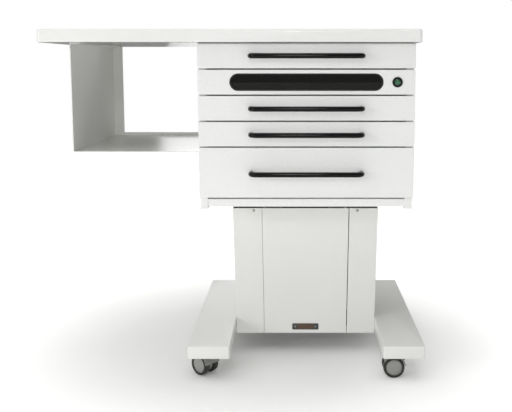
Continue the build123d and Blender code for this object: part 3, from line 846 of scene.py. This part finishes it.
# Inlet pins, and the screws that hold the back panel, in millimetres
backShape = {
    "pins": ((-7, -2), (7, -2), (0, 2)),
    "pin": (2.0, 5.0),
    "pinReach": 10.0,
    "pinRoot": 14.5,  # below the inlet's face
    "pinTip": (0.6, 1.2),
    "pinCorner": 0.3,
    "screwIn": 7.0,
    "screwColumns": 4,
}
smallScrew = dict(screwShape, head=2.8, thick=1.3, slotHalf=0.35, slotReach=1.5, slotDeep=0.7, shank=1.6)


def makeBackHardware(shape, screw):
    low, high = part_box("power_inlet")
    middle = (low + high) / 2
    wide, tall = shape["pin"]
    tipIn, tipLong = shape["pinTip"]
    mesh = bmesh.new()
    for x, z in shape["pins"]:
        loops = []
        for inset, out in ((0, 0), (0, shape["pinReach"] - tipLong), (tipIn, shape["pinReach"])):
            xs = [middle.x + (x + way * (wide / 2 - inset)) * mm for way in (-1, 1)]
            zs = [middle.z + (z + way * (tall / 2 - inset)) * mm for way in (-1, 1)]
            flat = roundedLoop(*xs, *zs, shape["pinCorner"] * mm, high.y + (out - shape["pinRoot"]) * mm, 3)
            loops.append([Vector((point.x, point.z, point.y)) for point in flat])
        loft(mesh, loops)
    finishPiece("inlet_pins", mesh, "cabinet", [nickelPlate])
    low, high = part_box("back_panel")
    mesh = bmesh.new()
    inset = shape["screwIn"] * mm
    for column in range(shape["screwColumns"]):
        x = low.x + inset + (high.x - low.x - 2 * inset) * column / (shape["screwColumns"] - 1)
        for z in (low.z + inset, high.z - inset):
            addScrew(mesh, (x, high.y, z), (0, 1, 0), screw)
    finishPiece("back_panel_screws", mesh, "cabinet", [nickelPlate])


makeBackHardware(backShape, smallScrew)
print("back hardware made")

# Plain pale floor and soft studio light. Each lamp has its place, aim, size in metres, power in watts and whether
# glossy surfaces mirror it; the overhead light comes from a direction, with its spread in degrees
studio = {
    "floor": ("F3F3F2", "F0F0EF"),
    "glow": {"from": 0.2, "to": 0.9, "low": 0.05, "high": 0.55},  # brighter away from the cabinet, in metres
    "cloud": 667,  # the floor's faint mottle, in millimetres
    "reach": 5,
    "room": 0.26,
    "overhead": ((-0.3, 0.05, 1), 70, 1.4),
    "lamps": {
        "key": ((-2.5, -2.2, 1.3), (0.1, 0, 0.4), 1.2, 24, True),
        "lowLeft": ((-1.4, -2.9, 0.35), (0.15, 0, 0.1), 0.8, 3, True),
        "lowRight": ((1.8, -2.9, 0.35), (0.15, 0, 0.1), 0.8, 3, True),
        "front": ((0.15, -3.4, 1.9), (0.15, 0, 0.5), 0.35, 8, True),
        "fill": ((0.15, -3.4, 0.75), (0.15, 0, 0.4), 0.5, 17, False),
        "side": ((3.2, 0.8, 1.2), (0.15, 0, 0.4), 1.2, 9, True),
        "rear": ((-0.2, 3.3, 1.0), (0.15, 0, 0.4), 1.2, 6, True),
    },
}


def makeFloor(look):
    material, tree, shader, place = startMaterial("matteFloor", {"Roughness": 0.9, "IOR": 1.4})
    cloud = addNode(
        tree, "ShaderNodeTexNoise", {"Scale": 1 / (look["cloud"] * mm), "Detail": 2.0}, {"Vector": place}
    )
    tones = {"data_type": "RGBA", 6: look["floor"][0], 7: look["floor"][1]}
    tone = addNode(tree, "ShaderNodeMix", tones, {0: cloud.outputs["Fac"]})
    distance = addNode(tree, "ShaderNodeVectorMath", {"operation": "LENGTH"}, {0: place})
    glow = addNode(
        tree,
        "ShaderNodeMapRange",
        {
            "interpolation_type": "SMOOTHSTEP",
            "From Min": look["glow"]["from"],
            "From Max": look["glow"]["to"],
            "To Min": look["glow"]["low"],
            "To Max": look["glow"]["high"],
        },
        {"Value": distance.outputs["Value"]},
    )
    # the glow whitens the backdrop and lights nothing
    ray = addNode(tree, "ShaderNodeLightPath")
    seen = addNode(
        tree,
        "ShaderNodeMath",
        {"operation": "MULTIPLY"},
        {0: glow.outputs["Result"], 1: ray.outputs["Is Camera Ray"]},
    )
    tree.links.new(tone.outputs[2], shader.inputs["Base Color"])
    shader.inputs["Emission Color"].default_value = hexColour(look["floor"][0])
    tree.links.new(seen.outputs["Value"], shader.inputs["Emission Strength"])
    mesh = bmesh.new()
    reach = look["reach"]
    mesh.faces.new([mesh.verts.new((x * reach, y * reach, 0)) for x, y in ((-1, -1), (1, -1), (1, 1), (-1, 1))])
    data = bpy.data.meshes.new("floor")
    mesh.to_mesh(data)
    mesh.free()
    data.materials.append(material)
    floor = bpy.data.objects.new("floor", data)
    bpy.context.scene.collection.objects.link(floor)


def aimLight(name, kind, place, towards, settings, mirrored=True):
    data = bpy.data.lights.new(name, kind)
    for setting, value in settings.items():
        setattr(data, setting, value)
    light = bpy.data.objects.new(name, data)
    light.location = place
    light.rotation_mode = "QUATERNION"
    light.rotation_quaternion = (Vector(towards) - Vector(place)).to_track_quat("-Z", "Y")
    light.visible_glossy = mirrored
    bpy.context.scene.collection.objects.link(light)


def makeStudio(look):
    makeFloor(look)
    for name, (place, aim, size, power, mirrored) in look["lamps"].items():
        aimLight(name, "AREA", place, aim, {"shape": "DISK", "size": size, "energy": power}, mirrored)
    direction, spread, strength = look["overhead"]
    aimLight("overhead", "SUN", direction, (0, 0, 0), {"angle": math.radians(spread), "energy": strength})
    # the room lights the cabinet softly and is plain white behind it
    world = bpy.data.worlds.new("studio")
    world.use_nodes = True
    tree = world.node_tree
    tree.nodes.clear()
    ray = addNode(tree, "ShaderNodeLightPath")
    room = addNode(
        tree,
        "ShaderNodeMapRange",
        {"To Min": look["room"], "To Max": 1.0},
        {"Value": ray.outputs["Is Camera Ray"]},
    )
    background = addNode(tree, "ShaderNodeBackground", {"Color": "FFFFFF"}, {"Strength": room.outputs["Result"]})
    addNode(tree, "ShaderNodeOutputWorld", {}, {"Surface": background.outputs["Background"]})
    bpy.context.scene.world = world
    bpy.context.scene.view_settings.view_transform = "Standard"


makeStudio(studio)
print("studio made")
